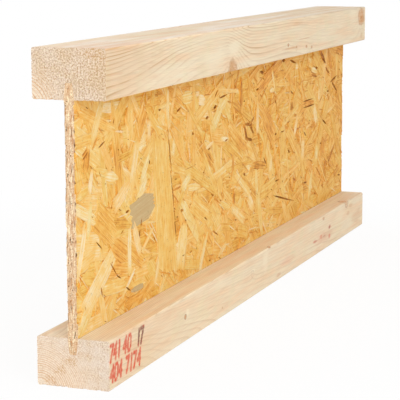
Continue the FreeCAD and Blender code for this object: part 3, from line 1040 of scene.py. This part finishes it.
def pressed_strands(board):
    """Oriented strand board, pressed hot with resin between smooth plates.

    The eye sees flat strands of many golds that melt into their neighbours at their split
    ends, each with its own fine grain, a few dark specks, and a dull wax sheen.
    """
    material, tree, output = new_material("pressed_strands")
    frame_of = add(tree, "ShaderNodeAttribute", out="Vector", attribute_name="strand_frame")
    size_of = add(tree, "ShaderNodeAttribute", out="Vector", attribute_name="strand_size")
    along, across, seed = add(tree, SPLIT, [frame_of]).node.outputs
    half_length, half_width, tone = add(tree, SPLIT, [size_of]).node.outputs
    place = place_in_mm(tree)

    def fibres(long, wide, shift):
        """Noise in streaks along each strand, so many millimetres long and wide."""
        run = [
            add(tree, MATH, [along, 1 / (long * MM)], operation="MULTIPLY"),
            add(tree, MATH, [across, 1 / (wide * MM)], operation="MULTIPLY"),
            add(tree, MATH, [seed, 50.0, shift], operation="MULTIPLY_ADD"),
        ]
        vector = add(tree, "ShaderNodeCombineXYZ", run)
        return add(tree, NOISE, {"Vector": vector, "Scale": 1.0, "Detail": 4.0, "Roughness": 0.65})

    # Real fibres are finer than these, which are as coarse as the photo shows them
    streaks = fibres(45.0, 1.8, 0.0)
    hairs = fibres(22.0, 0.8, 7.0)
    # Stains 7 mm wide within a strand, cloudy regions 26 mm wide and specks 1.8 mm wide over all
    stains = add(tree, VECTOR_MATH, {0: frame_of, "Scale": 1 / (7 * MM)}, operation="SCALE")
    stains = add(tree, NOISE, {"Vector": stains, "Scale": 1.0, "Detail": 2.0})
    region = add(tree, NOISE, {"Vector": place, "Scale": 1 / 26, "Detail": 4.0, "Roughness": 0.6})
    specks = add(tree, NOISE, {"Vector": place, "Scale": 1 / 1.8182, "Detail": 2.0, "Roughness": 0.6})

    shade = 0.0
    for noise, weight in ((streaks, 0.85), (hairs, 0.75), (stains, 0.30), (region, 0.35)):
        shade = nudged(tree, shade, noise, weight)
    own = add(tree, MATH, [tone, shade], operation="ADD")
    common = add(tree, MATH, [shade, 0.61], operation="ADD")
    # Ends thin out into splinters and take the shade of what lies round them
    ends = add(tree, MATH, [along], operation="ABSOLUTE")
    ends = add(tree, MATH, [ends, half_length], operation="DIVIDE")
    ends = add(tree, RANGE, [nudged(tree, ends, streaks, 1.2), 0.60, 1.10, 0.0, 0.75])
    blended = add(tree, MIX, {0: ends, 2: own, 3: common})
    stops = [
        (0.02, board.bark),
        (0.22, board.brown),
        (0.40, board.orange),
        (0.57, board.gold),
        (0.76, board.straw),
        (0.96, board.cream),
    ]
    cast = add(tree, "ShaderNodeTexWhiteNoise", {"W": seed}, noise_dimensions="1D")
    greys = coats(tree, board.brown, (add(tree, RANGE, [streaks, 0.0, 0.75, 0.4, 1.0]), board.grey))
    # The last millimetre inside each long edge is darkened in stretches, partly by resin and partly as
    # painted shade of the step down from the strand
    inward = add(tree, MATH, [across], operation="ABSOLUTE")
    inward = add(tree, MATH, [half_width, inward], operation="SUBTRACT")
    rim = add(tree, RANGE, [inward, 0.1 * MM, 1.0 * MM, 1.0, 0.0])
    resin = add(tree, RANGE, [stains, 0.40, 0.60, 0.0, 0.32])
    colour = coats(
        tree,
        add(tree, RAMP, [blended], stops=stops),
        (add(tree, RANGE, [cast, 0.5, 1.0]), board.green_cast, "MULTIPLY"),
        (add(tree, RANGE, [cast, 0.5, 0.0]), board.red_cast, "MULTIPLY"),
        (add(tree, MATH, [tone, (1 + GREY) / 2], operation="GREATER_THAN"), greys),
        # resin and painted shade along the strands' long edges
        (add(tree, MATH, [rim, resin], operation="MULTIPLY"), board.brown),
        (add(tree, RANGE, [hairs, 0.62, 0.76, 0.0, 0.35]), board.brown),
        (add(tree, RANGE, [hairs, 0.40, 0.28, 0.0, 0.35]), board.cream),
        (add(tree, RANGE, [specks, 0.655, 0.74, 0.0, 0.6]), board.bark),
    )

    height = add(tree, MATH, [hairs, streaks], operation="ADD")
    given = {
        "Base Color": colour,
        "Roughness": add(tree, RANGE, [stains, 0.0, 1.0, 0.45, 0.65]),
        "IOR": 1.48,
        "Specular IOR Level": add(tree, RANGE, [blended, 0.15, 0.45, 0.02, 0.14]),
        "Normal": add(tree, "ShaderNodeBump", {"Height": height, "Strength": 0.4, "Distance": 0.2 * MM}),
    }
    tree.links.new(add(tree, "ShaderNodeBsdfPrincipled", given), output.inputs["Surface"])
    return material


def sawn_strands(board):
    """The same board where the saw has cut across its strands.

    The eye sees thin layers on edge, pinkish where the fibres are cut, with dark specks
    where strands leave a hollow between them.
    """
    material, tree, output = new_material("sawn_strands")
    place = place_in_mm(tree)
    # A strand is about 0.7 mm thick and shows 9 mm of its width or length, and its cut
    # fibres stand up in tufts 1.1 mm wide
    layers = drawn_noise(tree, place, (0.7, 9, 9), roughness=0.6)
    fuzz = {"Vector": place, "Scale": 1 / 1.1111, "Detail": 3.0, "Roughness": 0.7}
    fuzz = add(tree, NOISE, fuzz)
    specks = drawn_noise(tree, place, (0.75, 1.875, 1.875), 1.0)
    mixed = add(tree, MATH, [fuzz, 0.7, layers], operation="MULTIPLY_ADD")
    stops = [(0.65, board.brown), (0.78, board.edge), (0.88, board.edge), (1.05, board.cream)]
    colour = add(tree, RAMP, [mixed], stops=stops)
    # Painted shade: the hollows and everything from a millimetre in from the sawn ends are darkened towards
    # bark
    depth = add(tree, MATH, [add(tree, SPLIT, [place], out="Y")], operation="ABSOLUTE")
    depth = add(tree, MATH, [LENGTH / 2 / MM, depth], operation="SUBTRACT")
    hollow_shade = add(tree, RANGE, [depth, 0.2, 1.2])
    specks_and_hollow_shade = add(tree, MATH, [add(tree, RANGE, [specks, 0.35, 0.26]), hollow_shade], operation="MAXIMUM")
    given = {
        # dark specks, and the painted shade of the hollows, laid in bark
        "Base Color": coats(tree, colour, (add(tree, MATH, [specks_and_hollow_shade, 0.9], operation="MULTIPLY"), board.bark)),
        "Roughness": 0.8,
        "IOR": 1.46,
        "Normal": add(tree, "ShaderNodeBump", {"Height": fuzz, "Strength": 0.5, "Distance": 0.3 * MM}),
    }
    tree.links.new(add(tree, "ShaderNodeBsdfPrincipled", given), output.inputs["Surface"])
    return material


# Splinters torn from each kind of edge at each end of a batten
CHIPS = 16


def add_lens(shapes, centre, reach, turn, axis, around=7):
    """Add a lens to some shapes. It reaches so many millimetres from its middle, and is turned."""
    shape = Matrix.Translation(centre) @ Matrix.Rotation(turn, 4, axis)
    shape @= Matrix.Diagonal((*(reach * MM), 1))
    bmesh.ops.create_uvsphere(shapes, u_segments=around, v_segments=around - 2, radius=1, matrix=shape)


def cut_away(piece, shapes, name):
    """Take shapes away from a piece, by a cutter that isn't seen."""
    mesh = bpy.data.meshes.new(name)
    shapes.to_mesh(mesh)
    shapes.free()
    cutter = bpy.data.objects.new(name + "_" + piece.name, mesh)
    bpy.context.scene.collection.objects.link(cutter)
    cutter.hide_render = True
    cutter.hide_set(True)
    cut = piece.modifiers.new(name, "BOOLEAN")
    cut.object = cutter
    cut.use_self = True
    return cutter


def saw_chips(draw, low, high):
    """A mesh of what the saw tore from the edges of both ends of a batten.

    The batten lies between two levels, and the saw left it through the lower one.
    """
    shapes = bmesh.new()

    def drawn(*limits):
        """A reach drawn between limits each way."""
        return Vector([draw.uniform(least, most) for least, most in limits])

    for end in (NEAR_END, NEAR_END + LENGTH):
        for _ in range(CHIPS):
            x = draw.uniform(-0.95, 0.95) * FLANGE_SIDE
            if abs(x) > 1.5 * WEB_FACE:
                reach = drawn((0.6, 2.8), (0.8, 4.0), (0.4, 1.7))
                add_lens(shapes, Vector((x, end, low)), reach, draw.uniform(-0.3, 0.3), "Z")
            side = draw.choice((-1, 1)) * FLANGE_SIDE
            reach = drawn((0.2, 0.5), (0.6, 1.8), (0.4, 1.4))
            place = Vector((side, end, draw.uniform(low, high)))
            add_lens(shapes, place, reach, draw.uniform(-0.3, 0.3), "Z")
    return shapes


class IJOIST_OT_dress_flanges(bpy.types.Operator):
    """Give the two planed battens their grain, knots and sawn ends"""

    bl_idname = "ijoist.dress_flanges"
    bl_label = "Dress the flanges"

    def execute(self, context):
        groups = {"branch": branch_group(), "patch": patch_group(), "stroke": stroke_group()}
        for batten in BATTENS:
            material = planed_spruce(batten, context.scene.ijoist_softwood, groups)
            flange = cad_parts[batten.node]
            flange.material_slots[0].material = material
            levels = [corner.co.z for corner in flange.data.vertices]
            shapes = saw_chips(random.Random(int(batten.seed)), min(levels), max(levels))
            for x, y, z in batten.nicks:
                add_lens(shapes, Vector((x * MM, NEAR_END + y * MM, z * MM)), NICK, 0, "Z")
            cut_away(flange, shapes, "chips")
        return {"FINISHED"}


class IJOIST_OT_press_web(bpy.types.Operator):
    """Lay and press the strands of the web's two faces round its core"""

    bl_idname = "ijoist.press_web"
    bl_label = "Press the web"

    def execute(self, context):
        board = context.scene.ijoist_board
        pressed = pressed_strands(board)
        sawn = sawn_strands(board)
        core = panel_core(board, random.Random(5))
        core.data.materials.append(sawn)
        for name, side, seed in (("web_face_right", 1, 11), ("web_face_left", -1, 29)):
            draw = random.Random(seed)
            strands = scattered_strands(draw, board)
            if side > 0:
                strands += placed_strands()
            piece = PressedFace(side, strands, draw, board.relief).piece(name)
            piece.data.materials.append(pressed)
            piece.data.materials.append(sawn)
        return {"FINISHED"}


def seen_directly(tree):
    """1 for rays from the camera, from a gloss or through glass, else 0."""
    path = add(tree, "ShaderNodeLightPath").node.outputs
    gloss = add(tree, MATH, [path["Is Camera Ray"], path["Is Glossy Ray"]], operation="MAXIMUM")
    return add(tree, MATH, [gloss, path["Is Transmission Ray"]], operation="MAXIMUM")


def studio_floor(stage):
    """Matt white paper that fades into the white room, and that is clear seen from below."""
    material, tree, output = new_material("studio_floor")
    matt = add(tree, "ShaderNodeBsdfDiffuse", {"Color": (*stage.floor, 1.0)})
    white = add(tree, "ShaderNodeEmission", {"Color": (1.0, 1.0, 1.0, 1.0), "Strength": 1.0})
    here = add(tree, "ShaderNodeTexCoord", out="Object")
    away = add(tree, VECTOR_MATH, [here], out="Value", operation="LENGTH")
    # The floor is all white from 0.75 m off its middle, and nine tenths white within 0.3 m
    fade = add(tree, RANGE, [away, 0.3, 0.75, 0.9, 1.0], interpolation_type="SMOOTHSTEP")
    share = add(tree, MATH, [seen_directly(tree), fade], operation="MULTIPLY")
    above = add(tree, "ShaderNodeMixShader", [share, matt, white])
    behind = add(tree, "ShaderNodeNewGeometry", out="Backfacing")
    clear = add(tree, "ShaderNodeBsdfTransparent")
    tree.links.new(add(tree, "ShaderNodeMixShader", [behind, above, clear]), output.inputs["Surface"])
    return material


def studio_light(stage):
    """An even white room."""
    world = bpy.data.worlds.new("studio_light")
    world.use_nodes = True
    tree = world.node_tree
    tree.nodes.clear()
    strength = add(tree, RANGE, [seen_directly(tree), 0.0, 1.0, stage.sky, 1.0])
    room = add(tree, "ShaderNodeBackground", {"Color": (1.0, 1.0, 1.0, 1.0), "Strength": strength})
    tree.links.new(room, tree.nodes.new("ShaderNodeOutputWorld").inputs["Surface"])
    return world


# What the lamps point at, and what the camera does
LAMP_AIM = Vector((0, -0.1, 0.15))
CAMERA_AIM = Vector((-0.0346, -0.0216, 0.1019))


class IJOIST_OT_set_stage(bpy.types.Operator):
    """Set the floor, the lamps and the camera"""

    bl_idname = "ijoist.set_stage"
    bl_label = "Set the stage"

    def execute(self, context):
        stage = context.scene.ijoist_stage
        reach = stage.reach
        mesh = bpy.data.meshes.new("floor")
        corners = ((-reach, -reach, 0), (reach, -reach, 0), (reach, reach, 0), (-reach, reach, 0))
        mesh.from_pydata(corners, [], [(0, 1, 2, 3)])
        floor = bpy.data.objects.new("floor", mesh)
        context.scene.collection.objects.link(floor)
        mesh.materials.append(studio_floor(stage))
        context.scene.world = studio_light(stage)

        # Each lamp's name, place, power and width
        for name, place, watts, width in (
            ("key_lamp", (3.15, -2.85, 1.9), stage.key_power, 1.35),
            ("front_lamp", (0.7, -2.8, 0.7), stage.front_power, 1.4),
            ("top_lamp", (0.3, -0.4, 2.6), stage.top_power, 1.6),
            ("back_lamp", (-1.9, 1.7, 0.9), stage.back_power, 1.3),
        ):
            lamp = bpy.data.lights.new(name, "AREA")
            lamp.energy = watts
            lamp.shape = "SQUARE"
            lamp.size = width
            thing = bpy.data.objects.new(name, lamp)
            context.scene.collection.objects.link(thing)
            away = Vector(place) - LAMP_AIM
            thing.location = place
            thing.rotation_euler = away.to_track_quat("Z", "Y").to_euler()

        round_z = Matrix.Rotation(stage.azimuth, 3, "Z")
        forward = round_z @ Vector((0, math.cos(stage.elevation), -math.sin(stage.elevation)))
        level = forward.cross(Vector((0, 0, 1))).normalized()
        upright = level.cross(forward)
        right = math.cos(stage.roll) * level + math.sin(stage.roll) * upright
        up = right.cross(forward)
        turn = Matrix((right, up, -forward)).transposed()
        data = bpy.data.cameras.new("camera")
        data.lens = stage.lens
        data.sensor_width = 36.0
        data.clip_end = 50.0
        camera = bpy.data.objects.new("camera", data)
        context.scene.collection.objects.link(camera)
        camera.matrix_world = Matrix.Translation(CAMERA_AIM - forward * stage.distance) @ turn.to_4x4()
        context.scene.camera = camera
        context.scene.view_settings.view_transform = "Standard"
        return {"FINISHED"}


# The settings that a scene keeps, each with the operator that works from them
SETTINGS = {
    "ijoist_softwood": (IJOIST_PG_softwood, IJOIST_OT_dress_flanges),
    "ijoist_board": (IJOIST_PG_board, IJOIST_OT_press_web),
    "ijoist_stage": (IJOIST_PG_stage, IJOIST_OT_set_stage),
}


class IJOIST_PT_joist(bpy.types.Panel):
    """The joist's settings and operators, in the 3D view's sidebar"""

    bl_idname = "IJOIST_PT_joist"
    bl_label = "I-joist"
    bl_space_type = "VIEW_3D"
    bl_region_type = "UI"
    bl_category = "I-joist"

    def draw(self, context):
        for name, (group, operator) in SETTINGS.items():
            box = self.layout.box()
            for title in group.__annotations__:
                box.prop(getattr(context.scene, name), title)
            box.operator(operator.bl_idname)


def register():
    """Make the settings, operators and panel known to Blender."""
    for name, (group, operator) in SETTINGS.items():
        bpy.utils.register_class(group)
        bpy.utils.register_class(operator)
        setattr(bpy.types.Scene, name, bpy.props.PointerProperty(type=group))
    bpy.utils.register_class(IJOIST_PT_joist)


def unregister():
    """Take them all away again."""
    bpy.utils.unregister_class(IJOIST_PT_joist)
    for name, (group, operator) in SETTINGS.items():
        delattr(bpy.types.Scene, name)
        bpy.utils.unregister_class(operator)
        bpy.utils.unregister_class(group)


def main():
    """Dress the joist and set the stage."""
    register()
    bpy.ops.ijoist.dress_flanges()
    bpy.ops.ijoist.press_web()
    bpy.ops.ijoist.set_stage()


if __name__ == "__main__":
    main()
